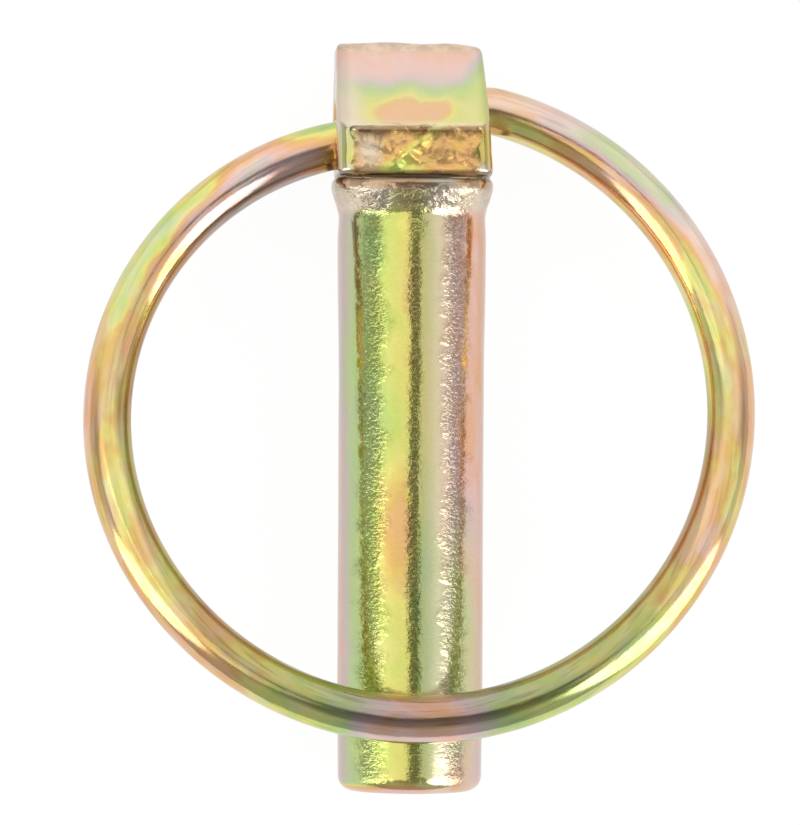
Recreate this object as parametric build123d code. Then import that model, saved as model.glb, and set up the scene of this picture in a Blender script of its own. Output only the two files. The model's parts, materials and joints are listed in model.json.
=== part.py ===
from build123d import *
import math
import os

# Linch pin: a forged steel pin with a square head, and a spring wire ring hinged in the head.
# It lies on its back, as it comes to rest: X runs across, Y runs along the shank with the tip
# at -Y and the head at +Y, and +Z is up, out of the pin's front.
# The origin is on the shank's axis, where the plain round stretch starts under the flare.
# Lengths are in millimetres and angles in degrees.

# Shank
SHANK_DIAMETER = 11.0
GRIP_LENGTH = 33.5
LEAD_LENGTH = 8.0
LEAD_DRAW_IN = 0.07
TIP_ROUNDING = 1.1

# Flare and collar, where the upset head grows out of the round bar
FLARE_HEIGHT = 3.5
FLARE_SWELL = 0.22
FLARE_FLAT_ANGLE = 6.0
COLLAR_HEIGHT = 1.4
COLLAR_SIDE_STEP = 0.62
COLLAR_FRONT_STEP = 0.45
COLLAR_CORNER = 2.3
COLLAR_CHAMFER = 0.4

# Head block, flush with the shank's back and proud of its front and sides
HEAD_HEIGHT = 10.1
HEAD_FRONT_STEP = 0.7
HEAD_SIDE_STEP = 0.35
HEAD_TOP_DRAFT = 0.4
HEAD_TOP_LEAN = 0.24
HEAD_CORNER = 1.2
HEAD_FOOT_CHAMFER = 0.2

# Sloped finger face on the upper front of the head
SLOPE_START = 3.65
SLOPE_DEPTH = 5.8
SLOPE_SIDE_ROUNDING = 0.45
RIDGE_ROUNDING = 1.2

# Hinge: the ring's staggered ends turn in one cross bore, which slants towards the right end
HINGE_HEIGHT = 3.8
HINGE_DEPTH = 0.5
HINGE_SLANT = 7.0
END_STAGGER = 2.8
BORE_CLEARANCE = 0.06
BORE_CHAMFER = 0.25

# Ring: one bent wire, round on the right and a little tighter on the left
WIRE_DIAMETER = 3.6
RING_RADIUS = 23.6
RING_SHIFT = 0.38
RING_SET_ANGLE = 150.0
BEND_RADIUS = 4.0
BEND_INSET = 0.6
END_GRIP = 3.8
END_CHAMFER = 0.4
REST_GAP = 0.15

# Worked out from the sizes above
SHANK_RADIUS = SHANK_DIAMETER / 2
WIRE_RADIUS = WIRE_DIAMETER / 2
COLLAR_TOP = FLARE_HEIGHT + COLLAR_HEIGHT
HEAD_TOP = COLLAR_TOP + HEAD_HEIGHT
HEAD_FRONT = SHANK_RADIUS + HEAD_FRONT_STEP
HEAD_BACK = -SHANK_RADIUS
HEAD_HALF_WIDTH = SHANK_RADIUS + HEAD_SIDE_STEP
HINGE_Y = COLLAR_TOP + HINGE_HEIGHT
HINGE_Z = -HINGE_DEPTH
SLANT = math.radians(HINGE_SLANT)
END_OFFSET = END_STAGGER / 2 * math.cos(SLANT) - HEAD_HALF_WIDTH * math.sin(SLANT)
BORE_RADIUS = END_OFFSET + WIRE_RADIUS + BORE_CLEARANCE
BEND_END = HEAD_HALF_WIDTH - BEND_INSET
END_FACE = HEAD_HALF_WIDTH - END_GRIP


def cross_section(y, half_width, front, corner, lean=0.0):
    """Rounded rectangle across the pin at height y, flush with the shank's back."""
    outline = RectangleRounded(2 * half_width, front - HEAD_BACK, corner)
    return Plane.XZ.offset(-y) * Pos(-lean, (front + HEAD_BACK) / 2) * outline


def round_section(y, radius):
    """Circle across the pin, drawn as eight arcs that match a rounded rectangle's eight edges."""
    arcs = []
    for middle in (0, 90, 180, 270):
        arcs.append(CenterArc((0, 0), radius, middle - FLARE_FLAT_ANGLE, 2 * FLARE_FLAT_ANGLE))
        arcs.append(CenterArc((0, 0), radius, middle + FLARE_FLAT_ANGLE, 90 - 2 * FLARE_FLAT_ANGLE))
    return Plane.XZ.offset(-y) * make_face(arcs)


def collar_section():
    """Outline of the collar, where the flare ends."""
    half_width = SHANK_RADIUS + COLLAR_SIDE_STEP
    return cross_section(FLARE_HEIGHT, half_width, SHANK_RADIUS + COLLAR_FRONT_STEP, COLLAR_CORNER)


def shank():
    """Plain round grip, then a slightly drawn-in lead with a rounded tip."""
    tip_y = -(GRIP_LENGTH + LEAD_LENGTH)
    outline = Polyline(
        (0, 0),
        (SHANK_RADIUS, 0),
        (SHANK_RADIUS, -GRIP_LENGTH),
        (SHANK_RADIUS - LEAD_DRAW_IN, tip_y),
        (0, tip_y),
        close=True,
    )
    bar = revolve(make_face(outline), axis=Axis.Y)
    tip_edge = bar.edges().filter_by(GeomType.CIRCLE).sort_by(Axis.Y)[0]
    return fillet(tip_edge, TIP_ROUNDING)


def flare():
    """Upset swelling that turns the round bar into the squared collar."""
    swollen = SHANK_RADIUS + FLARE_SWELL
    middle = cross_section(FLARE_HEIGHT / 2, swollen, swollen, SHANK_RADIUS - FLARE_SWELL)
    return loft([round_section(0, SHANK_RADIUS), middle, collar_section()])


def collar():
    """Low squared rim under the head. Its bevelled upper edge makes a groove with the head's foot."""
    rim = extrude(collar_section(), COLLAR_HEIGHT, dir=(0, 1, 0))
    return chamfer(rim.edges().group_by(Axis.Y)[-1], COLLAR_CHAMFER)


def slope_face(block):
    """The sloped finger face: the flat one that looks most towards both the front and the top."""
    flats = block.faces().filter_by(GeomType.PLANE)
    return max(flats, key=lambda face: min(face.normal_at().Y, face.normal_at().Z))


def head():
    """Drafted block with its upper front cut to a slope."""
    base = cross_section(COLLAR_TOP, HEAD_HALF_WIDTH, HEAD_FRONT, HEAD_CORNER)
    top_half_width = HEAD_HALF_WIDTH - HEAD_TOP_DRAFT
    top = cross_section(HEAD_TOP, top_half_width, HEAD_FRONT, HEAD_CORNER, HEAD_TOP_LEAN)
    block = loft([base, top])
    foot = block.edges().group_by(Axis.Y)[0]
    block = chamfer(foot.filter_by(lambda e: e.center().Z > HEAD_FRONT - HEAD_CORNER), HEAD_FOOT_CHAMFER)

    slope_y = COLLAR_TOP + SLOPE_START
    rise = (HEAD_TOP - slope_y) / SLOPE_DEPTH
    over = HEAD_FRONT
    wedge = Polyline(
        (slope_y - rise * over, HEAD_FRONT + over),
        (HEAD_TOP + rise * over, HEAD_FRONT - SLOPE_DEPTH - over),
        (HEAD_TOP + rise * over, HEAD_FRONT + over),
        close=True,
    )
    block -= extrude(Plane.YZ * make_face(wedge), 2 * HEAD_HALF_WIDTH, both=True)

    sides = slope_face(block).edges().sort_by(Axis.Y)[-3:-1]
    top_rim = block.faces().sort_by(Axis.Y)[-1].edges().sort_by(Axis.Z)[:-1]
    block = fillet(sides + top_rim, SLOPE_SIDE_ROUNDING)
    ridge = slope_face(block).edges().sort_by(Axis.Y)[-1]
    return fillet(ridge, RIDGE_ROUNDING)


def on_hinge(along, off=0.0):
    """A point of the ring's plane, given along the hinge line and square to it."""
    return (
        along * math.cos(SLANT) - off * math.sin(SLANT),
        along * math.sin(SLANT) + off * math.cos(SLANT),
    )


def on_circle(centre, radius, towards):
    """The point of a circle that lies in the direction of another point."""
    reach = math.dist(centre, towards)
    return tuple(c + radius * (t - c) / reach for c, t in zip(centre, towards))


def bend(foot, centre, start):
    """Short bend that takes the wire from its straight end into the ring."""
    middle = tuple((f + s) / 2 for f, s in zip(foot, start))
    return ThreePointArc(foot, on_circle(centre, BEND_RADIUS, middle), start)


def ring_path():
    """The ring's centreline in its own plane, hinge at the middle and head upwards."""
    # Right end above the hinge line, then the wide arc that makes the right side and the bottom
    right_foot = on_hinge(BEND_END, END_OFFSET)
    right_bend = on_hinge(BEND_END, END_OFFSET - BEND_RADIUS)
    drop = math.sqrt((RING_RADIUS - BEND_RADIUS) ** 2 - (right_bend[0] - RING_SHIFT) ** 2)
    wide = (RING_SHIFT, right_bend[1] - drop)
    lowest = (wide[0], wide[1] - RING_RADIUS)
    right_start = on_circle(wide, RING_RADIUS, right_bend)

    # Left end below it, then the tighter arc, tangent to its bend and to the wide arc
    left_foot = on_hinge(-BEND_END, -END_OFFSET)
    left_bend = on_hinge(-BEND_END, -END_OFFSET - BEND_RADIUS)
    set_angle = math.radians(RING_SET_ANGLE)
    outward = (math.cos(set_angle), -math.sin(set_angle))
    meeting = tuple(c + RING_RADIUS * n for c, n in zip(wide, outward))
    span = [m - b for m, b in zip(meeting, left_bend)]
    reach = sum(s * n for s, n in zip(span, outward))
    tight_radius = (sum(s * s for s in span) - BEND_RADIUS**2) / (2 * (reach - BEND_RADIUS))
    tight = tuple(m - tight_radius * n for m, n in zip(meeting, outward))
    left_start = on_circle(tight, tight_radius, left_bend)

    path = [
        Line(on_hinge(END_FACE, END_OFFSET), right_foot),
        bend(right_foot, right_bend, right_start),
        ThreePointArc(right_start, lowest, meeting),
        ThreePointArc(meeting, (tight[0] - tight_radius, tight[1]), left_start),
        bend(left_foot, left_bend, left_start),
        Line(left_foot, on_hinge(-END_FACE, -END_OFFSET)),
    ]
    return path, lowest


def ring_plane():
    """The shut ring's plane: through the hinge, and tilted so that the wire clears the shank."""
    lowest = ring_path()[1]
    rise = SHANK_RADIUS + REST_GAP + WIRE_RADIUS - HINGE_Z
    tilt = math.asin(rise / -lowest[1])
    facing = (0, math.sin(tilt), math.cos(tilt))
    return Plane((0, HINGE_Y, HINGE_Z), x_dir=(1, 0, 0), z_dir=facing)


def ring():
    """The wire ring, shut: its ends in the bore, its bottom just over the shank's front."""
    path = ring_path()[0]
    section = Plane(path[0] @ 0, z_dir=path[0] % 0) * Circle(WIRE_RADIUS)
    wire = sweep(section, path=Wire(path))
    rims = wire.edges().filter_by(GeomType.CIRCLE)
    ends = rims.sort_by(lambda rim: abs(rim.center().X))[:2]
    return ring_plane() * chamfer(ends, END_CHAMFER)


def pin():
    """The forging in one piece, with the cross bore for the ring's ends."""
    forging = shank() + flare() + collar() + head()
    plane = ring_plane()
    hinge_line = plane.from_local_coords(Vector(*on_hinge(1))) - plane.origin
    bore = Plane(plane.origin, z_dir=hinge_line) * Circle(BORE_RADIUS)
    forging -= extrude(bore, 2 * HEAD_HALF_WIDTH, both=True)
    mouths = [e for face in forging.faces() for hole in face.inner_wires() for e in hole.edges()]
    return chamfer(mouths, BORE_CHAMFER)


os.makedirs("parts", exist_ok=True)
for name, part in {"pin": pin(), "ring": ring()}.items():
    export_step(part, f"parts/{name}.step")
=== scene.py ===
import json
import math

import bpy
import numpy as np
from mathutils import Matrix, Vector, noise


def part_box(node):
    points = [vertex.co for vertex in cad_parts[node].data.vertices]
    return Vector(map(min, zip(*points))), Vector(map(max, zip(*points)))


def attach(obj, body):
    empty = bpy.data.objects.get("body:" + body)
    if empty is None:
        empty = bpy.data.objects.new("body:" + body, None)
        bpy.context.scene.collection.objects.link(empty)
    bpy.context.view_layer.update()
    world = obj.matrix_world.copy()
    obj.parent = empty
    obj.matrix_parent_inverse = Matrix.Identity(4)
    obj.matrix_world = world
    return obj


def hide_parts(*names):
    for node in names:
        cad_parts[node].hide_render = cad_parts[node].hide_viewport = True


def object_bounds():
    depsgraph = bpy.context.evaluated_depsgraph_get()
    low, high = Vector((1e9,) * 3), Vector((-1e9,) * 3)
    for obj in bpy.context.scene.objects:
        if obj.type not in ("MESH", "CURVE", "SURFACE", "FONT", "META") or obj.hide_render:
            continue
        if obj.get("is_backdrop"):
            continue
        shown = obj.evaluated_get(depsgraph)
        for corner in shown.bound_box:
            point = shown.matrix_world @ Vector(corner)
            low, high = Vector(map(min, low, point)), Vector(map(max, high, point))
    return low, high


# Linch pin: a forged pin with a squared, sloped head, and a wire ring hinged in it, both yellow plated.
# X runs across, the tip is at -Y and the head at +Y, and +Z is up, out of the pin's front.

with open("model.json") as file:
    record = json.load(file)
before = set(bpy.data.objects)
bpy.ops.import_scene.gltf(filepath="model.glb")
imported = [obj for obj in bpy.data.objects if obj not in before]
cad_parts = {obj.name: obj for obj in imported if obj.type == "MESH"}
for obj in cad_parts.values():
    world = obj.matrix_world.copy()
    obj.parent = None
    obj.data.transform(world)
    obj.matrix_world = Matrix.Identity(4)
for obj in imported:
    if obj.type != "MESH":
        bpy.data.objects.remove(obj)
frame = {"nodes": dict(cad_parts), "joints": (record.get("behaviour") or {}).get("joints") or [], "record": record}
cad_low, cad_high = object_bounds()

# Sizes and places are in millimetres in the part's own frame, and MM turns them into metres
MM = 0.001
TO_MM = 1 / MM

# The shank, from the record: its mount starts on its axis under the flare and runs towards the tip
SHANK_MOUNT = frame["record"]["mounts"][0]
SHANK_RADIUS = SHANK_MOUNT["dims"]["r_mm"]
PIN_LOW, PIN_HIGH = [corner * TO_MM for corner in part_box("pin")]
TIP_Y = PIN_LOW.y
HEAD_TOP = PIN_HIGH.y
HEAD_FRONT = PIN_HIGH.z

# The shank's lead, which draws in a little on the way to its rounded tip
LEAD_LENGTH = 8.0
LEAD_DRAW_IN = 0.07
TIP_ROUNDING = 1.1
TIP_BLEND = 0.2

# Heights along the pin that the forging's faces start and end at, and how far the collar and head stand out
FLARE_TOP = 3.5
COLLAR_TOP = 4.9
COLLAR_SIDE_STEP = 0.62
COLLAR_FRONT_STEP = 0.45
SLOPE_FOOT = 8.55
SLOPE_DEPTH = 5.8
HEAD_SIDE_STEP = 0.35
HEAD_HALF_WIDTH = SHANK_RADIUS + HEAD_SIDE_STEP

# The torn lower face's diagonal ridge: the height that it crosses the middle at, and its run per height
RIDGE_MIDDLE = 7.0
RIDGE_RUN = 1.1

# Folds beside the flare, each from its lower to its upper end in the front view
FOLDS = (((-5.45, 2.4), (-4.8, 3.6)), ((5.5, 2.7), (5.15, 3.5)))

# How far the forging's marks stand out or cut in
SWELL = 0.12
UNEVENNESS = 0.015
HEAD_UNEVENNESS = 0.05
TORN_DEPTH = 0.1
TORN_LUMPS = 0.34
TORN_LEAN = 0.16
RIDGE_HEIGHT = 0.26
RIDGE_WIDTH = 0.55
LIP_HOLLOW = 0.16
WRINKLE_DEPTH = 0.05
FOLD_DEPTH = 0.14
FOLD_WIDTH = 0.16

# The ring's hinge line and the sizes of its bent wire
SWING = frame["joints"][0]
HINGE = Vector(SWING["pos_m"]) * TO_MM
WIRE_RADIUS = 1.8
RING_RADIUS = 23.6
RING_SHIFT = 0.38
RING_SET_ANGLE = math.radians(150.0)
BEND_RADIUS = 4.0
BEND_INSET = 0.6
BEND_END = HEAD_HALF_WIDTH - BEND_INSET
END_GRIP = 3.8
END_FACE = HEAD_HALF_WIDTH - END_GRIP
END_STAGGER = 2.8
SLANT = math.radians(7.0)
END_OFFSET = END_STAGGER / 2 * math.cos(SLANT) - HEAD_HALF_WIDTH * math.sin(SLANT)
REST_GAP = 0.15

# Middle of the shut ring, which its colours go round
RING_MIDDLE = Vector((RING_SHIFT, -14.2, 3.5))

# Mesh density
PIN_VOXEL = 0.18
SOFTENING_STEPS = 6
WIRE_STEP = 0.28
WIRE_SIDES = 56
WIRE_END_STEPS = 12


def smooth(low, high, value):
    """0 below low, 1 above high, and a soft step between them."""
    t = np.clip((value - low) / (high - low), 0.0, 1.0)
    return t * t * (3 - 2 * t)


def bump(centre, half_width, value):
    """1 at centre, falling softly to 0 at half_width either side."""
    return 1 - smooth(0.0, half_width, abs(value - centre))


def grain(points, stretch, seed, octaves=3):
    """Fractal noise, about -1 to 1, at each point, with its cells stretched along X, Y and Z."""
    scale = 1 / np.array(stretch)
    shifted = points * scale + seed
    return np.array([noise.fractal(Vector(p), 1.0, 2.0, octaves) for p in shifted])


def creases(points, stretch, seed):
    """Sharp winding valleys, 1 in a valley and 0 away from it."""
    scale = 1 / np.array(stretch)
    shifted = points * scale + seed
    return np.array([1 - min(1.0, abs(noise.noise(Vector(p))) * 6) for p in shifted])


def new_object(name, data):
    thing = bpy.data.objects.new(name, data)
    bpy.context.scene.collection.objects.link(thing)
    return thing


def get_vectors(items, name):
    """One vector of each of a mesh's items, as rows."""
    flat = np.empty(len(items) * 3, np.float32)
    items.foreach_get(name, flat)
    return flat.reshape(-1, 3).astype(float)


def set_points(mesh, points):
    mesh.vertices.foreach_set("co", points.astype(np.float32).ravel())
    mesh.update()


def remeshed(node):
    """A fine, even mesh of a CAD node, in millimetres."""
    mesh = frame["nodes"][node].data.copy()
    mesh.transform(Matrix.Scale(TO_MM, 4))
    mesh.materials.clear()
    thing = new_object("work", mesh)
    remesh = thing.modifiers.new("remesh", "REMESH")
    remesh.mode = "VOXEL"
    remesh.voxel_size = PIN_VOXEL
    remesh.use_smooth_shade = True
    soften = thing.modifiers.new("soften", "SMOOTH")
    soften.factor = 0.5
    soften.iterations = SOFTENING_STEPS
    graph = bpy.context.evaluated_depsgraph_get()
    fine = bpy.data.meshes.new_from_object(thing.evaluated_get(graph))
    bpy.data.objects.remove(thing)
    return fine


def scale_out(points, ratio):
    """Moves points away from the shank's axis, or towards it."""
    points[:, 0] *= ratio
    points[:, 2] *= ratio


def round_shank(points):
    """Puts the shank's points on a true circle."""
    x, y, z = points.T
    above_tip = smooth(TIP_Y + TIP_ROUNDING, TIP_Y + TIP_ROUNDING + TIP_BLEND, y)
    plain = (1 - smooth(-0.5, 0.0, y)) * above_tip
    target = SHANK_RADIUS - LEAD_DRAW_IN * (1 - smooth(TIP_Y, TIP_Y + LEAD_LENGTH, y))
    scale_out(points, 1 + plain * (target / np.maximum(np.hypot(x, z), 1e-6) - 1))


def square_up(points):
    """Lets the round flare melt into the collar, which is squarish with well rounded corners."""
    x, y, z = points.T
    growth = smooth(1.6, COLLAR_TOP - 0.6, y)
    half_width = SHANK_RADIUS + COLLAR_SIDE_STEP * growth
    depth = SHANK_RADIUS + COLLAR_FRONT_STEP * growth * (z > 0)
    power = 2 + 0.9 * smooth(2.0, FLARE_TOP + 0.8, y)
    radius = np.maximum(np.hypot(x, z), 1e-6)
    across = np.abs(x / radius / half_width) ** power
    deep = np.abs(z / radius / depth) ** power
    reach = (across + deep) ** (-1 / power)

    # The flare's points go onto the outline, and the collar's keep their places relative to its own rim
    angle = np.arctan2(z, x)
    rim = (y > FLARE_TOP + 0.2) & (y < FLARE_TOP + 0.7) & (radius > 4.5)
    order = np.argsort(angle[rim])
    collar_reach = np.interp(angle, angle[rim][order], radius[rim][order], period=2 * math.pi)
    current = np.where(y < FLARE_TOP + 0.2, radius, collar_reach)
    under_head = 1 - smooth(COLLAR_TOP - 0.15, COLLAR_TOP + 0.1, y)
    share = smooth(-0.5, 0.2, y) * under_head * (radius > 3.0)
    scale_out(points, 1 + share * (reach / np.maximum(current, 3.0) - 1))


def torn_marks(points, facing):
    """Relief of the torn lower face: rough, cut back under the slope's lip, with a diagonal ridge."""
    x, y, _ = points.T
    torn = smooth(0.7, 0.95, facing) * smooth(COLLAR_TOP + 0.3, COLLAR_TOP + 0.7, y)
    ragged = 0.5 * grain(points, (9.0, 1.4, 9.0), 23.0, 2)
    torn *= (1 - smooth(SLOPE_FOOT - 0.5, SLOPE_FOOT - 0.05, y)) * (1 - smooth(3.9, 4.9, abs(x) + ragged))

    # The left of the face is calmer, and leans
    calm_left = bump(-3.6, 1.5, x)
    calm = 1 - 0.7 * calm_left
    leaning = TORN_LEAN * (6.9 - y) * calm_left
    lumps = grain(points + 0.35 * points[:, [1, 0, 2]], (1.5, 0.9, 1.5), 5.3, 4)
    ridge = np.exp(-((x - RIDGE_RUN * (y - RIDGE_MIDDLE)) / RIDGE_WIDTH) ** 2)
    wavy = 0.9 * grain(points, (1.3, 9.0, 9.0), 17.0, 3)
    under_lip = smooth(SLOPE_FOOT - 1.5, SLOPE_FOOT - 0.4, y + wavy)
    rough = TORN_LUMPS * calm * lumps + leaning - TORN_DEPTH * calm
    return torn * (rough + RIDGE_HEIGHT * ridge - LIP_HOLLOW * under_lip)


def away_from_line(x, y, start, end):
    """Distance from a straight line between two points of the front view."""
    run, climb = end[0] - start[0], end[1] - start[1]
    along = ((x - start[0]) * run + (y - start[1]) * climb) / (run * run + climb * climb)
    along = np.clip(along, 0, 1)
    return np.hypot(x - start[0] - along * run, y - start[1] - along * climb)


def flare_marks(points, facing):
    """Wrinkles where the metal was upset into the flare, and a longer fold on each side."""
    x, y, z = points.T
    upset = bump(3.1, 1.4, y) * smooth(-0.2, 0.4, facing)
    wrinkles = grain(points, (0.7, 0.4, 0.7), 13.0, 4) - creases(points, (1.6, 1.0, 1.6), 31.0)
    out = upset * WRINKLE_DEPTH * wrinkles
    for foot, head in FOLDS:
        away = away_from_line(x, y, foot, head)
        out -= FOLD_DEPTH * np.exp(-(away / FOLD_WIDTH) ** 2) * (z > 0)
    return out


def forge_marks(points, normals):
    """How far the forging's surface stands out or in at each point."""
    _, y, z = points.T
    facing = normals[:, 2]

    # The shank's front and sides swell a little as they come up to the flare
    rise = smooth(-11.5, -0.5, y) * (1 - smooth(0.0, 3.0, y))
    out = SWELL * rise * smooth(-SHANK_RADIUS, 0.0, z)

    # Soft unevenness all over, a little more on the head's sides and front than on its slope
    on_head = smooth(COLLAR_TOP - 0.3, COLLAR_TOP + 0.2, y) * (1 - smooth(0.4, 0.6, normals[:, 1]))
    out += UNEVENNESS * grain(points, (3.5, 6.0, 3.5), 3.1)
    out += HEAD_UNEVENNESS * on_head * grain(points, (3.0, 3.0, 3.0), 9.7)
    return out + torn_marks(points, facing) + flare_marks(points, facing)


def head_drift(points):
    """Moves the head's outline off true: its top falls away to the right, and its left side bulges."""
    x, y, _ = points.T
    top = smooth(HEAD_TOP - 3.0, HEAD_TOP, y)
    points[:, 1] += top * (0.1 - 0.3 * smooth(2.0, 5.6, x) - 0.06 * np.sin(x * 1.1 + 0.6))
    points[:, 0] -= 0.12 * smooth(COLLAR_TOP, COLLAR_TOP + 4.0, y) * smooth(-2.0, -5.0, x)


def make_pin():
    mesh = remeshed("pin")
    points = get_vectors(mesh.vertices, "co")
    round_shank(points)
    square_up(points)
    set_points(mesh, points)
    normals = get_vectors(mesh.vertex_normals, "vector")
    points += normals * forge_marks(points, normals)[:, None]
    head_drift(points)
    set_points(mesh, points * MM)
    mesh.name = "plated_pin"
    thing = new_object("plated_pin", mesh)
    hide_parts("pin")
    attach(thing, "pin")
    return thing


def on_hinge(along, off):
    """A point of the ring's plane, given along the hinge line and square to it."""
    return np.array((
        along * math.cos(SLANT) - off * math.sin(SLANT),
        along * math.sin(SLANT) + off * math.cos(SLANT),
    ))


def on_circle(centre, radius, towards):
    """The point of a circle that lies in the direction of another point."""
    return centre + radius * (towards - centre) / np.linalg.norm(towards - centre)


def arc(centre, radius, start, end):
    """Points clockwise round an arc from one end point to another, without the last."""
    first = math.atan2(*(start - centre)[::-1])
    last = math.atan2(*(end - centre)[::-1])
    sweep = (first - last) % (2 * math.pi)
    steps = max(8, round(sweep * radius / WIRE_STEP))
    angles = first - sweep * np.arange(steps) / steps
    return centre + radius * np.column_stack((np.cos(angles), np.sin(angles)))


def ring_centreline():
    """The wire's centreline in the ring's plane, from its right end round to its left end."""
    right_foot = on_hinge(BEND_END, END_OFFSET)
    right_bend = on_hinge(BEND_END, END_OFFSET - BEND_RADIUS)
    drop = math.sqrt((RING_RADIUS - BEND_RADIUS) ** 2 - (right_bend[0] - RING_SHIFT) ** 2)
    wide = np.array((RING_SHIFT, right_bend[1] - drop))
    right_start = on_circle(wide, RING_RADIUS, right_bend)

    # The left side is a tighter arc, tangent to its bend and to the wide arc
    left_foot = on_hinge(-BEND_END, -END_OFFSET)
    left_bend = on_hinge(-BEND_END, -END_OFFSET - BEND_RADIUS)
    outward = np.array((math.cos(RING_SET_ANGLE), -math.sin(RING_SET_ANGLE)))
    meeting = wide + RING_RADIUS * outward
    span = meeting - left_bend
    reach = span @ outward
    tight_radius = (span @ span - BEND_RADIUS**2) / (2 * (reach - BEND_RADIUS))
    tight = meeting - tight_radius * outward
    left_start = on_circle(tight, tight_radius, left_bend)

    right_end = on_hinge(END_FACE, END_OFFSET)
    left_end = on_hinge(-END_FACE, -END_OFFSET)
    straight = np.linspace(0, 1, WIRE_END_STEPS, endpoint=False)[:, None]
    return np.vstack((
        right_end + straight * (right_foot - right_end),
        arc(right_bend, BEND_RADIUS, right_foot, right_start),
        arc(wide, RING_RADIUS, right_start, meeting),
        arc(tight, tight_radius, meeting, left_start),
        arc(left_bend, BEND_RADIUS, left_start, left_foot),
        left_foot + straight * (left_end - left_foot),
        left_end[None],
    ))


def tube(path, facing):
    """Points and faces of a round wire with closed ends. Facing is square to the plane of its path."""
    tangent = np.gradient(path, axis=0)
    tangent /= np.linalg.norm(tangent, axis=1)[:, None]
    side = np.cross(facing, tangent)
    turn = np.linspace(0, 2 * math.pi, WIRE_SIDES, endpoint=False)
    points = (
        path[:, None]
        + WIRE_RADIUS * np.cos(turn)[None, :, None] * side[:, None]
        + WIRE_RADIUS * np.sin(turn)[None, :, None] * facing
    ).reshape(-1, 3)
    faces = []
    for row in range(len(path) - 1):
        a, b = row * WIRE_SIDES, (row + 1) * WIRE_SIDES
        for k in range(WIRE_SIDES):
            n = (k + 1) % WIRE_SIDES
            faces.append((a + k, b + k, b + n, a + n))
    faces.append(tuple(range(WIRE_SIDES)))
    faces.append(tuple((len(path) - 1) * WIRE_SIDES + k for k in reversed(range(WIRE_SIDES))))
    return points, faces


def make_ring():
    """The shut ring: its plane goes through the hinge, tilted so that the wire clears the shank."""
    flat = ring_centreline()
    lowest = flat[:, 1].min()
    tilt = math.asin((SHANK_RADIUS + REST_GAP + WIRE_RADIUS - HINGE.z) / -lowest)
    across = np.array((1.0, 0.0, 0.0))
    along = np.array((0.0, math.cos(tilt), -math.sin(tilt)))
    path = np.array(HINGE) + flat[:, :1] * across + flat[:, 1:] * along
    points, faces = tube(path, np.cross(across, along))
    mesh = bpy.data.meshes.new("plated_ring")
    mesh.from_pydata([tuple(p) for p in points * MM], [], faces)
    mesh.update()
    mesh.polygons.foreach_set("use_smooth", [True] * len(mesh.polygons))
    thing = new_object("plated_ring", mesh)
    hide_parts("ring")
    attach(thing, "ring")
    return thing


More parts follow.
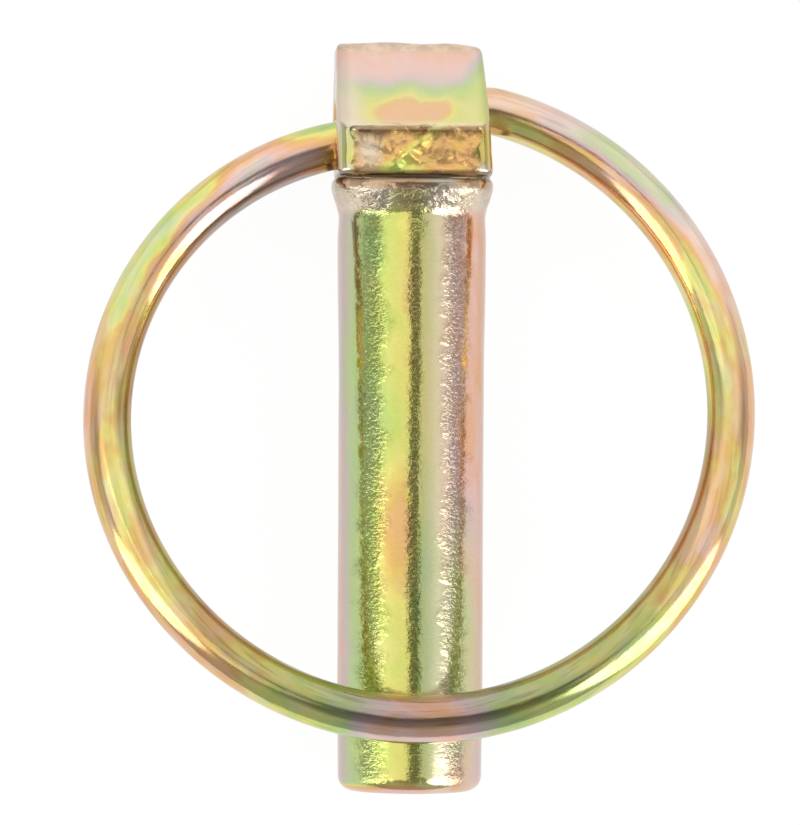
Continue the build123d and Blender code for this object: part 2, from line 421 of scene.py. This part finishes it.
class Nodes:
    """Short ways to add and join the nodes of a material or a world."""

    def __init__(self, owner):
        owner.use_nodes = True
        self.tree = owner.node_tree
        self.tree.nodes.clear()
        self.place = self.add("ShaderNodeTexCoord").outputs["Object"]

    def add(self, kind, **settings):
        node = self.tree.nodes.new(kind)
        for key, value in settings.items():
            setattr(node, key, value)
        return node

    def put(self, socket, value):
        if isinstance(value, bpy.types.NodeSocket):
            self.tree.links.new(value, socket)
        else:
            socket.default_value = value

    def math(self, operation, *values):
        node = self.add("ShaderNodeMath", operation=operation)
        for socket, value in zip(node.inputs, values):
            self.put(socket, value)
        return node.outputs[0]

    def vector(self, operation, *values):
        node = self.add("ShaderNodeVectorMath", operation=operation)
        for socket, value in zip(node.inputs, values):
            self.put(socket, value)
        return node.outputs["Value" if operation == "LENGTH" else "Vector"]

    def split(self, vector):
        """The X, Y and Z parts of a vector."""
        parts = self.add("ShaderNodeSeparateXYZ")
        self.put(parts.inputs[0], vector)
        return parts.outputs

    def total(self, *values):
        first, *rest = values
        for value in rest:
            first = self.math("ADD", first, value)
        return first

    def product(self, *values):
        first, *rest = values
        for value in rest:
            first = self.math("MULTIPLY", first, value)
        return first

    def others(self, share):
        """1 where share is 0, and 0 where it is 1."""
        return self.math("SUBTRACT", 1.0, share)

    def apart(self, value, middle):
        """How far a value is from a middle, on either side of it."""
        return self.math("ABSOLUTE", self.math("SUBTRACT", value, middle))

    def soft(self, value, low, high):
        """0 at low, 1 at high, and a soft step between them. High may be the smaller."""
        node = self.add("ShaderNodeMapRange", interpolation_type="SMOOTHSTEP")
        self.put(node.inputs["Value"], value)
        node.inputs["From Min"].default_value = low
        node.inputs["From Max"].default_value = high
        return node.outputs[0]

    def noise_at(self, place, detail, rough, warp):
        node = self.add("ShaderNodeTexNoise")
        self.put(node.inputs["Vector"], place)
        node.inputs["Scale"].default_value = 1.0
        node.inputs["Detail"].default_value = detail
        node.inputs["Roughness"].default_value = rough
        node.inputs["Distortion"].default_value = warp
        return node.outputs["Fac"]

    def noise(self, stretch, detail, rough, warp, seed):
        """Noise from 0 to 1 whose cells are stretch millimetres along X, Y and Z."""
        place = self.vector("MULTIPLY", self.place, Vector((TO_MM / s for s in stretch)))
        place = self.vector("ADD", place, (seed, seed * 0.7, -seed))
        return self.noise_at(place, detail, rough, warp)

    def spread(self, value, reach):
        """Noise from 0 to 1 turned into about -reach to reach."""
        return self.product(self.math("SUBTRACT", value, 0.5), 2 * reach)

    def patch(self, centre, radii, amount, lift=0.0):
        """Amount at centre, falling softly to 0 at the edge of an ellipsoid. Lift moves it along Y."""
        away = self.vector("SUBTRACT", self.place, Vector(centre) * MM)
        away = self.vector("MULTIPLY", away, Vector((TO_MM / r for r in radii)))
        raised = self.add("ShaderNodeCombineXYZ")
        self.put(raised.inputs["Y"], self.math("DIVIDE", lift, radii[1]))
        away = self.vector("ADD", away, raised.outputs[0])
        return self.product(self.soft(self.vector("LENGTH", away), 1.0, 0.0), amount)

    def curve(self, value, stops):
        """A smooth curve through stops, each a place and a height from 0 to 2."""
        first, last = stops[0][0], stops[-1][0]
        node = self.add("ShaderNodeFloatCurve")
        points = node.mapping.curves[0].points
        while len(points) < len(stops):
            points.new(0.5, 0.5)
        for point, (place, height) in zip(points, stops):
            point.location = ((place - first) / (last - first), height / 2)
        node.mapping.update()
        share = self.math("DIVIDE", self.math("SUBTRACT", value, first), last - first)
        self.put(node.inputs["Value"], share)
        return self.product(node.outputs[0], 2.0)

    def blend(self, share, first, second):
        """First where share is 0 and second where it is 1, for numbers."""
        node = self.add("ShaderNodeMix")
        self.put(node.inputs["Factor"], share)
        self.put(node.inputs["A"], first)
        self.put(node.inputs["B"], second)
        return node.outputs["Result"]

    def tint(self, share, first, colour):
        """First where share is 0 and a plain colour where it is 1."""
        node = self.add("ShaderNodeMixRGB")
        self.put(node.inputs["Fac"], share)
        self.put(node.inputs["Color1"], first)
        self.put(node.inputs["Color2"], (*colour, 1.0))
        return node.outputs["Color"]

    def ramp(self, value, stops):
        """The colour that lies at a value along stops, each a place from 0 to 1 and a colour."""
        node = self.add("ShaderNodeValToRGB")
        elements = node.color_ramp.elements
        while len(elements) < len(stops):
            elements.new(0.5)
        for element, (place, colour) in zip(elements, stops):
            element.position = place
            element.color = (*colour, 1.0)
        self.put(node.inputs["Fac"], value)
        return node.outputs["Color"]


def linear(colour):
    """A colour written as it looks on screen, as linear light."""
    return tuple(c / 12.92 if c <= 0.04045 else ((c + 0.055) / 1.055) ** 2.4 for c in colour)


# The plating's colours in the order that a thickening film goes through them, once round
GOLD = linear((0.93, 0.76, 0.43))
PEACH = linear((0.96, 0.72, 0.54))
PINK = linear((0.95, 0.78, 0.75))
LILAC = linear((0.85, 0.77, 0.78))
SAGE = linear((0.77, 0.80, 0.66))
GREEN = linear((0.72, 0.84, 0.54))
LIME = linear((0.82, 0.88, 0.47))
YELLOW = linear((0.94, 0.90, 0.50))
FILM = (
    (0.00, GOLD),
    (0.13, PEACH),
    (0.27, PINK),
    (0.38, LILAC),
    (0.48, SAGE),
    (0.60, GREEN),
    (0.75, LIME),
    (0.88, YELLOW),
    (1.00, GOLD),
)

# The patch low on the shank's right, the pale tint over the film for haze and painted highlights, and the dark
# tint over both for dirt and painted shade
PALE_GREEN = linear((0.80, 0.87, 0.60))
HAZE_AND_HIGHLIGHT = linear((0.94, 0.88, 0.79))
DIRT_AND_SHADE = linear((0.28, 0.22, 0.15))

# Film thickness from the shank's left side, where X is minus its radius, to its right side
FILM_ACROSS = (
    (-1.00, 0.22),
    (-0.90, 0.42),
    (-0.80, 0.56),
    (-0.57, 0.66),
    (-0.26, 0.78),
    (-0.05, 0.86),
    (0.10, 0.82),
    (0.28, 0.84),
    (0.45, 1.20),
    (0.60, 1.28),
    (0.75, 1.26),
    (0.88, 1.24),
    (1.00, 1.20),
)

# Share of haze from the shank's left side to its right side, whose peak right of the middle is a painted highlight
# that whitens the bright band there
HAZE_AND_HIGHLIGHT_ACROSS = (
    (-1.00, 0.30),
    (-0.80, 0.15),
    (-0.50, 0.05),
    (0.00, 0.06),
    (0.20, 0.45),
    (0.42, 0.75),
    (0.58, 0.25),
    (0.76, 0.06),
    (1.00, 0.20),
)

# Film thickness up the sloped face, by height along the pin
FILM_UP_SLOPE = (
    (8.4, 0.80),
    (9.6, 0.82),
    (10.6, 0.74),
    (11.4, 0.60),
    (11.9, 0.44),
    (12.5, 0.31),
    (13.6, 0.26),
    (15.0, 0.16),
)

# Hazy spots on the head's left side and on its torn face, and painted highlights as white glints at its two lower
# corners: centre, radii, share
HEAD_HAZE_AND_GLINTS = (
    ((-5.6, 10.0, 5.0), (2.4, 6.0, 6.0), 0.8),
    ((-3.4, 6.6, 6.0), (1.5, 2.6, 3.0), 0.8),
    ((-5.2, 5.2, 6.0), (1.0, 0.9, 1.5), 0.9),
    ((5.2, 5.2, 6.0), (1.0, 0.9, 1.5), 1.2),
)

# Film thickness on the wire's outer half, by the angle in degrees about the ring's middle from its right
FILM_OUTER = (
    (-180, 0.96),
    (-150, 1.04),
    (-120, 1.12),
    (-90, 1.28),
    (-60, 0.98),
    (-30, 1.02),
    (-10, 0.90),
    (15, 0.93),
    (30, 0.93),
    (45, 1.05),
    (60, 1.02),
    (75, 0.86),
    (105, 0.66),
    (120, 0.98),
    (135, 0.80),
    (150, 0.68),
    (165, 0.90),
    (180, 0.96),
)

# Film thickness on the wire's inner half, by the same angle
FILM_INNER = (
    (-180, 0.93),
    (-150, 0.93),
    (-135, 1.03),
    (-120, 0.82),
    (-106, 0.58),
    (-90, 0.27),
    (-74, 0.58),
    (-60, 0.74),
    (-45, 0.72),
    (-30, 0.97),
    (-15, 1.08),
    (0, 0.95),
    (15, 0.80),
    (30, 0.88),
    (45, 1.02),
    (60, 0.98),
    (75, 0.92),
    (105, 0.95),
    (120, 1.32),
    (150, 1.10),
    (180, 0.93),
)

# Roughness of the plating on its smooth, torn and sloped faces, and on the wire and its scratches
SMOOTH_ROUGHNESS = 0.12
TORN_ROUGHNESS = 0.32
SLOPE_ROUGHNESS = 0.3
WIRE_ROUGHNESS = 0.08
SCRATCH_ROUGHNESS = 0.1

# How deep the bumps are, in millimetres
PIN_BUMP = 0.03
WIRE_BUMP = 0.006


def film_colour(nodes, thickness):
    """The plating's colour for its film's thickness."""
    return nodes.ramp(nodes.math("FRACT", thickness), FILM)


def plating(nodes, colour, pale_share, dirt_and_shade, roughness, height, depth):
    """Metal with its film's colour, paled by haze and painted highlights, darkened by dirt and painted shade, and
    with a bump.
    """
    shader = nodes.add("ShaderNodeBsdfPrincipled")
    shader.inputs["Metallic"].default_value = 1.0
    dulled = nodes.tint(pale_share, colour, HAZE_AND_HIGHLIGHT)
    nodes.put(shader.inputs["Base Color"], nodes.tint(dirt_and_shade, dulled, DIRT_AND_SHADE))
    nodes.put(shader.inputs["Roughness"], roughness)
    relief = nodes.add("ShaderNodeBump")
    relief.inputs["Distance"].default_value = depth * MM
    nodes.put(relief.inputs["Height"], height)
    nodes.put(shader.inputs["Normal"], relief.outputs[0])
    output = nodes.add("ShaderNodeOutputMaterial")
    nodes.put(output.inputs["Surface"], shader.outputs[0])


class PinPlaces:
    """Where a point of the pin is, and its share of each region of the forging, from 0 to 1."""

    def __init__(self, nodes):
        self.x, self.y, self.z = (nodes.product(part, TO_MM) for part in nodes.split(nodes.place))
        self.side = nodes.math("ABSOLUTE", self.x)
        self.around = nodes.math("DIVIDE", self.x, SHANK_RADIUS)
        self.drift = nodes.noise((5.0, 16.0, 5.0), 2.0, 0.5, 0.4, 4.0)
        self.fine = nodes.noise((1.6, 3.4, 1.6), 3.0, 0.55, 0.4, 8.0)
        self.mottle = nodes.noise((1.1, 0.9, 1.1), 3.0, 0.6, 0.6, 12.0)
        self.pits = nodes.noise((0.28, 0.22, 0.28), 2.0, 0.6, 0.3, 6.0)
        self.add_head(nodes)
        self.add_shank(nodes)

    def add_head(self, nodes):
        """The head's shares: its slope, the front face under it, and the slope's lip and top edge."""
        y, z = self.y, self.z

        # The slope starts where a point is near enough to its plane
        lean = math.atan2(SLOPE_DEPTH, HEAD_TOP - SLOPE_FOOT)
        rise = nodes.product(nodes.math("SUBTRACT", y, SLOPE_FOOT), math.sin(lean))
        advance = nodes.product(nodes.math("SUBTRACT", z, HEAD_FRONT), math.cos(lean))
        out = nodes.total(rise, advance)
        above_foot = nodes.soft(y, SLOPE_FOOT - 0.1, SLOPE_FOOT + 0.25)
        self.slope = nodes.product(nodes.soft(out, -0.7, -0.2), above_foot)

        # The lower front face is torn between two smooth corners
        self.head = nodes.soft(y, COLLAR_TOP - 0.1, COLLAR_TOP + 0.1)
        front = nodes.soft(z, HEAD_FRONT - 0.8, HEAD_FRONT - 0.4)
        self.face = nodes.product(front, self.head, nodes.others(above_foot))
        ragged = nodes.spread(nodes.noise((9.0, 1.4, 9.0), 2.0, 0.5, 0.0, 23.0), 0.8)
        self.corner = nodes.soft(nodes.total(self.side, ragged), 4.2, 5.0)
        self.torn = nodes.product(self.face, nodes.others(self.corner))

        # Edges of the slope
        near_lip = nodes.soft(nodes.apart(y, SLOPE_FOOT), 0.5, 0.1)
        self.lip_edge = nodes.product(near_lip, nodes.soft(z, HEAD_FRONT - 1.0, HEAD_FRONT - 0.5))
        self.top_edge = nodes.soft(y, HEAD_TOP - 0.9, HEAD_TOP - 0.3)

    def add_shank(self, nodes):
        """The shank's shares: collar, flare, tip, the green patch and the pitted bands."""
        y = self.y
        above_flare = nodes.soft(y, FLARE_TOP, FLARE_TOP + 0.6)
        self.collar = nodes.product(above_flare, nodes.others(self.head))
        self.flare = nodes.product(nodes.soft(y, 1.8, 2.9), nodes.soft(y, FLARE_TOP + 0.7, FLARE_TOP + 0.1))
        self.tip = nodes.soft(y, TIP_Y + 0.9, TIP_Y + 0.2)

        # A pale green patch low on the right, which lies over the bands of colour
        patch = nodes.patch((3.1, -31.0, 4.5), (3.4, 15.0, 6.0), 1.3)
        patch = nodes.product(patch, nodes.soft(self.drift, 0.2, 0.6))
        self.lower_green = nodes.math("MINIMUM", patch, 0.8)

        # Dents and pits lie in two bands along the shank and in a stripe between them
        to_band = nodes.apart(nodes.math("ABSOLUTE", self.around), 0.56)
        ragged = nodes.spread(nodes.noise((2.0, 1.4, 2.0), 2.0, 0.5, 0.0, 14.0), 0.2)
        bands = nodes.product(nodes.soft(nodes.total(to_band, ragged), 0.24, 0.08), 0.9)
        to_stripe = nodes.math("ABSOLUTE", nodes.total(self.around, nodes.spread(self.fine, 0.12)))
        stripe = nodes.product(nodes.soft(to_stripe, 0.16, 0.04), 0.6)
        pitted = nodes.total(nodes.math("MAXIMUM", bands, stripe), 0.1)
        self.pitted = nodes.product(pitted, nodes.soft(y, 5.0, 3.0), nodes.others(self.tip))


def shank_film(nodes, at):
    """Bands along the shank, with a thicker patch on the left and a thinner one on the right."""
    bands = nodes.total(
        nodes.curve(at.around, FILM_ACROSS),
        nodes.patch((-1.6, -22.0, 5.0), (2.6, 8.5, 5.0), 0.32),
        nodes.patch((1.2, -30.0, 5.0), (1.9, 15.0, 4.0), -0.26),
        nodes.spread(at.drift, 0.22),
        nodes.spread(at.fine, 0.14),
    )
    end_face = nodes.total(nodes.spread(at.drift, 0.3), 1.2)
    return nodes.blend(at.tip, bands, end_face)


def face_film(nodes, at):
    """The torn face, thinner on its ridge and along its foot, and the smooth corners beside it."""
    ridge_x = nodes.product(nodes.math("SUBTRACT", at.y, RIDGE_MIDDLE), RIDGE_RUN)
    ridge_x = nodes.total(ridge_x, nodes.spread(at.mottle, 1.2))
    torn = nodes.total(
        nodes.product(nodes.soft(nodes.apart(at.x, ridge_x), 1.3, 0.2), -0.13),
        nodes.patch((-1.0, 5.4, 6.0), (2.6, 1.1, 3.0), -0.22),
        nodes.spread(at.mottle, 0.16),
        1.05,
    )
    corners = nodes.total(nodes.product(at.x, 0.012), 0.86)
    return nodes.blend(at.corner, torn, corners)


def slope_film(nodes, at):
    """Wavy bands up the slope, two waves near its foot, and one even film at its right edge."""
    waves = nodes.spread(nodes.noise((2.4, 6.0, 6.0), 3.0, 0.55, 0.0, 3.0), 0.9)
    left_wave = nodes.patch((-0.9, 9.5, 5.0), (3.4, 2.3, 4.0), 0.46, waves)
    right_wave = nodes.patch((1.3, 9.8, 5.0), (2.3, 1.9, 4.0), 0.42, waves)
    bands = nodes.total(
        nodes.curve(nodes.total(at.y, waves), FILM_UP_SLOPE),
        nodes.math("MINIMUM", nodes.math("MAXIMUM", left_wave, right_wave), 0.28),
        nodes.spread(at.fine, 0.07),
    )
    right_edge = nodes.math("MINIMUM", nodes.patch((6.4, 11.2, 3.0), (3.3, 5.2, 7.0), 1.6), 1.0)
    return nodes.blend(right_edge, bands, 0.76)


def pin_film(nodes, at):
    """The film's thickness on the whole pin."""
    collar_film = nodes.total(nodes.spread(at.mottle, 0.15), 1.08)
    film = nodes.blend(at.collar, shank_film(nodes, at), collar_film)
    film = nodes.blend(at.face, film, face_film(nodes, at))
    return nodes.blend(at.slope, film, slope_film(nodes, at))


def pin_haze_and_highlights(nodes, at):
    """Share of haze and painted highlight: haze on the head, the collar, the flare and in spots, less on the green
    patch, and painted highlights in the shank's bright band, on the flare's front corners, at the head's lower
    corners and along the slope's lip.
    """
    head_haze = nodes.product(nodes.others(at.face), 0.28)
    flare_corner_highlights = nodes.product(nodes.soft(at.side, 0.5, 4.0), nodes.soft(at.side, 6.0, 4.7))
    pale_share = nodes.total(
        # Across the shank, haze with a painted highlight in the bright band right of the middle
        nodes.blend(at.head, nodes.curve(at.around, HAZE_AND_HIGHLIGHT_ACROSS), head_haze),
        nodes.product(at.lower_green, -0.3),
        nodes.product(at.collar, 0.3),
        # A little haze over the flare, and painted highlights on its front corners
        nodes.product(at.flare, nodes.total(flare_corner_highlights, 0.3)),
        nodes.spread(at.fine, 0.25),
        # Hazy spots, and painted highlights at the head's two lower corners
        *(nodes.patch(*spot) for spot in HEAD_HAZE_AND_GLINTS),
        # A painted highlight along the slope's lip, and a paler top edge
        nodes.product(nodes.math("MAXIMUM", at.lip_edge, at.top_edge), 0.4),
    )
    return nodes.math("MINIMUM", nodes.math("MAXIMUM", pale_share, 0.0), 1.0)


def pin_dirt_and_shade(nodes, at):
    """Share of dirt and painted shade: painted shade in the groove under the head, under the slope's lip, in the
    flare's middle and along the sides, dirt in pits and in specks along the slope's top, darker blotches on the
    torn face, and a darker collar.
    """
    wavy = nodes.spread(nodes.noise((1.2, 9.0, 9.0), 3.0, 0.6, 0.0, 17.0), 1.4)
    under_lip = nodes.soft(nodes.total(at.y, wavy), SLOPE_FOOT - 1.1, SLOPE_FOOT - 0.4)
    dirt_and_shade = nodes.total(
        # Painted shadow under the slope's lip
        nodes.product(under_lip, at.torn, nodes.soft(at.lip_edge, 0.6, 0.1), 0.6),
        nodes.product(at.top_edge, at.slope, nodes.soft(at.mottle, 0.4, 0.6), 0.2),
        # Painted shade in the flare's middle
        nodes.product(at.flare, nodes.soft(at.side, 2.6, 0.8), 0.3),
        nodes.product(at.pitted, nodes.soft(at.pits, 0.66, 0.42), 0.38),
        # Painted shade along the sides
        nodes.product(nodes.soft(nodes.math("ABSOLUTE", at.around), 0.84, 0.97), 0.16),
        # Painted shade in the groove under the head
        nodes.product(nodes.soft(nodes.apart(at.y, COLLAR_TOP - 0.1), 0.5, 0.15), 0.6),
        nodes.product(nodes.soft(at.mottle, 0.52, 0.72), at.torn, 0.5),
        nodes.product(at.collar, 0.2),
    )
    return nodes.math("MINIMUM", dirt_and_shade, 0.8)


def pin_relief(nodes, at):
    """Dents and pits on the shank, wrinkles on the flare, marks on the slope and grit on the torn face."""
    dents = nodes.noise((0.8, 0.5, 0.8), 2.0, 0.5, 0.5, 2.0)
    wrinkles = nodes.noise((0.8, 0.55, 0.8), 3.0, 0.6, 1.0, 9.0)
    marks = nodes.noise((5.0, 0.16, 0.16), 2.0, 0.5, 0.0, 5.0)
    grit = nodes.noise((0.6, 0.35, 0.6), 4.0, 0.6, 0.4, 7.0)
    return nodes.total(
        nodes.product(dents, at.pitted, 0.9),
        nodes.product(at.pits, at.pitted, 1.3),
        nodes.product(wrinkles, at.flare, 4.5),
        nodes.product(marks, at.slope, 0.4),
        nodes.product(grit, at.torn, 3.0),
    )


def pin_material():
    material = bpy.data.materials.new("pin_plating")
    nodes = Nodes(material)
    at = PinPlaces(nodes)
    colour = nodes.tint(at.lower_green, film_colour(nodes, pin_film(nodes, at)), PALE_GREEN)
    roughness = nodes.blend(at.torn, SMOOTH_ROUGHNESS, TORN_ROUGHNESS)
    roughness = nodes.blend(at.slope, roughness, SLOPE_ROUGHNESS)
    pale_share, dirt_and_shade = pin_haze_and_highlights(nodes, at), pin_dirt_and_shade(nodes, at)
    plating(nodes, colour, pale_share, dirt_and_shade, roughness, pin_relief(nodes, at), PIN_BUMP)
    return material


class RingPlaces:
    """Where a point of the ring is: its angle about the middle, and how far out across the wire."""

    def __init__(self, nodes):
        self.nodes = nodes
        away = nodes.vector("SUBTRACT", nodes.place, RING_MIDDLE * MM)
        flat = nodes.vector("MULTIPLY", away, (1.0, 1.0, 0.0))
        x, y, _ = nodes.split(flat)
        self.angle = nodes.math("DEGREES", nodes.math("ARCTAN2", y, x))
        distance = nodes.product(nodes.vector("LENGTH", flat), TO_MM)
        self.outward = nodes.math("DIVIDE", nodes.math("SUBTRACT", distance, RING_RADIUS), WIRE_RADIUS)
        self.direction = nodes.vector("NORMALIZE", flat)

    def streaks(self, length, width, detail, seed):
        """Noise from 0 to 1, long along the wire and narrow across it."""
        nodes = self.nodes
        across = nodes.add("ShaderNodeCombineXYZ")
        nodes.put(across.inputs["Z"], nodes.product(self.outward, WIRE_RADIUS / width))
        place = nodes.vector("MULTIPLY", self.direction, (RING_RADIUS / length,) * 3)
        place = nodes.vector("ADD", place, across.outputs[0])
        place = nodes.vector("ADD", place, (seed, seed, seed))
        return nodes.noise_at(place, detail, 0.5, 0.0)


def ring_film(nodes, at):
    """The film's thickness on the ring, which rises at the wire's outer edge, most at the upper right."""
    wander = nodes.spread(at.streaks(3.0, 9.0, 2.0, 51.0), 0.35)
    outer_half = nodes.soft(nodes.total(at.outward, wander), -0.3, 0.3)
    edge_rise = nodes.total(nodes.patch((15.0, 4.5, 3.5), (16.0, 16.0, 30.0), 0.3), 0.18)
    return nodes.total(
        nodes.blend(outer_half, nodes.curve(at.angle, FILM_INNER), nodes.curve(at.angle, FILM_OUTER)),
        nodes.product(nodes.soft(at.outward, 0.3, 0.95), edge_rise),
        nodes.spread(at.streaks(3.5, 1.6, 2.0, 11.0), 0.3),
        nodes.spread(at.streaks(1.5, 0.6, 2.0, 23.0), 0.08),
    )


def ring_material():
    material = bpy.data.materials.new("ring_plating")
    nodes = Nodes(material)
    at = RingPlaces(nodes)
    pale_share = nodes.total(
        nodes.product(nodes.soft(at.streaks(3.0, 1.0, 3.0, 31.0), 0.4, 0.7), 0.35),
        nodes.product(nodes.soft(at.outward, 0.5, 1.0), 0.22),
        0.08,
    )

    # Painted shade along the wire's inner edge, dirt in fine lines drawn along the wire, and scratches along it
    dirt_and_shade = nodes.total(
        nodes.product(nodes.soft(at.outward, -0.72, -0.95), 0.4),
        nodes.product(nodes.soft(at.streaks(4.0, 0.22, 3.0, 61.0), 0.5, 0.75), 0.2),
    )
    scratches = at.streaks(1.2, 0.1, 3.0, 41.0)
    roughness = nodes.total(nodes.product(scratches, SCRATCH_ROUGHNESS), WIRE_ROUGHNESS)
    colour = film_colour(nodes, ring_film(nodes, at))
    plating(nodes, colour, pale_share, dirt_and_shade, roughness, scratches, WIRE_BUMP)
    return material


# The floor's half width in metres and its white, and its glow where the camera and where the plating sees it
FLOOR_REACH = 3.0
FLOOR_WHITE = (0.85, 0.85, 0.85, 1.0)
GLOW_SEEN = 1.06
GLOW_REFLECTED = 0.9
GLOW_SHARE = 0.88

# Soft lights: azimuth from +X and angle from overhead in degrees, width and height in metres, and radiance
SOFTBOXES = {
    "softbox_right": (0, 39, 0.28, 0.58, 0.5),
    "softbox_left": (-180, 30, 0.34, 0.56, 0.75),
    "strip_right": (-30, 65, 0.38, 0.82, 2.0),
    "strip_left": (-156, 64, 0.26, 0.66, 1.7),
}
LIGHT_DISTANCE = 0.6

# The camera: lens, film width and distance in millimetres, its turn to the left, its roll and its target
LENS = 230.4
FILM_WIDTH = 36.0
CAMERA_DISTANCE = 400.0
CAMERA_YAW = math.radians(2.5)
CAMERA_ROLL = math.radians(0.27)
CAMERA_TARGET = Vector((-0.84, -12.90, 0.0))


def floor():
    """A plain white floor that keeps a faint shadow of the object."""
    low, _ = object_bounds()
    corners = [(FLOOR_REACH * x, FLOOR_REACH * y, low.z) for x, y in ((-1, -1), (1, -1), (1, 1), (-1, 1))]
    mesh = bpy.data.meshes.new("floor")
    mesh.from_pydata(corners, [], [(0, 1, 2, 3)])
    thing = new_object("floor", mesh)
    material = bpy.data.materials.new("floor")
    nodes = Nodes(material)
    white = nodes.add("ShaderNodeBsdfDiffuse")
    white.inputs["Color"].default_value = FLOOR_WHITE
    glow = nodes.add("ShaderNodeEmission")
    path = nodes.add("ShaderNodeLightPath")
    seen = path.outputs["Is Camera Ray"]
    nodes.put(glow.inputs["Strength"], nodes.blend(seen, GLOW_REFLECTED, GLOW_SEEN))
    glowing = nodes.math("MAXIMUM", seen, path.outputs["Is Glossy Ray"])
    mix = nodes.add("ShaderNodeMixShader")
    nodes.put(mix.inputs[0], nodes.product(glowing, GLOW_SHARE))
    nodes.put(mix.inputs[1], white.outputs[0])
    nodes.put(mix.inputs[2], glow.outputs[0])
    output = nodes.add("ShaderNodeOutputMaterial")
    nodes.put(output.inputs["Surface"], mix.outputs[0])
    mesh.materials.append(material)
    thing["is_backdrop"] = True


def sky():
    """A dim surround, dimmest overhead, with a bright far side that the head's slope looks to."""
    world = bpy.data.worlds.new("world")
    bpy.context.scene.world = world
    nodes = Nodes(world)
    direction = nodes.add("ShaderNodeTexCoord").outputs["Generated"]
    x, y, z = nodes.split(direction)
    level = nodes.vector("LENGTH", nodes.vector("MULTIPLY", direction, (1.0, 1.0, 0.0)))
    ahead = nodes.math("DIVIDE", y, nodes.math("MAXIMUM", level, 0.01))
    glow = nodes.add("ShaderNodeBackground")
    glow.inputs["Color"].default_value = (1, 1, 1, 1)
    nodes.put(glow.inputs["Strength"], nodes.total(
        nodes.product(nodes.soft(ahead, 0.2, 0.65), nodes.soft(y, 0.08, 0.3), 0.7),
        nodes.product(nodes.soft(x, -0.75, -0.97), 0.25),
        nodes.product(nodes.soft(x, 0.85, 0.97), 0.25),
        nodes.product(nodes.soft(z, 0.99, 0.7), 0.15),
        nodes.product(nodes.soft(y, 0.0, -0.35), 0.08),
        0.18,
    ))
    output = nodes.add("ShaderNodeOutputWorld")
    nodes.put(output.inputs["Surface"], glow.outputs[0])


def softbox(name, azimuth, zenith, width, height, radiance):
    """A tall oval soft light that aims at the object."""
    light = bpy.data.lights.new(name, "AREA")
    light.shape = "ELLIPSE"
    light.size, light.size_y = width, height
    light.energy = radiance * math.pi * math.pi / 4 * width * height
    thing = new_object(name, light)
    turn, rise = math.radians(azimuth), math.radians(90 - zenith)
    direction = Vector((math.cos(turn) * math.cos(rise), math.sin(turn) * math.cos(rise), math.sin(rise)))
    thing.location = (cad_low + cad_high) / 2 + LIGHT_DISTANCE * direction
    thing.rotation_euler = direction.to_track_quat("Z", "Y").to_euler()
    thing.visible_camera = False


def camera():
    """Straight above the lying pin, a little to its left, with a long lens."""
    data = bpy.data.cameras.new("camera")
    data.lens = LENS
    data.sensor_width = FILM_WIDTH
    data.clip_start, data.clip_end = 0.05, 20.0
    back = Vector((-math.sin(CAMERA_YAW), 0.0, math.cos(CAMERA_YAW)))
    up = Vector((-math.sin(CAMERA_ROLL), math.cos(CAMERA_ROLL), 0.0))
    right = up.cross(back).normalized()
    up = back.cross(right)
    place = (CAMERA_TARGET + CAMERA_DISTANCE * back) * MM
    thing = new_object("camera", data)
    thing.matrix_world = Matrix.Translation(place) @ Matrix((right, up, back)).transposed().to_4x4()
    bpy.context.scene.camera = thing


make_pin().data.materials.append(pin_material())
make_ring().data.materials.append(ring_material())
floor()
sky()
for name, setting in SOFTBOXES.items():
    softbox(name, *setting)
camera()
bpy.context.scene.view_settings.view_transform = "Standard"
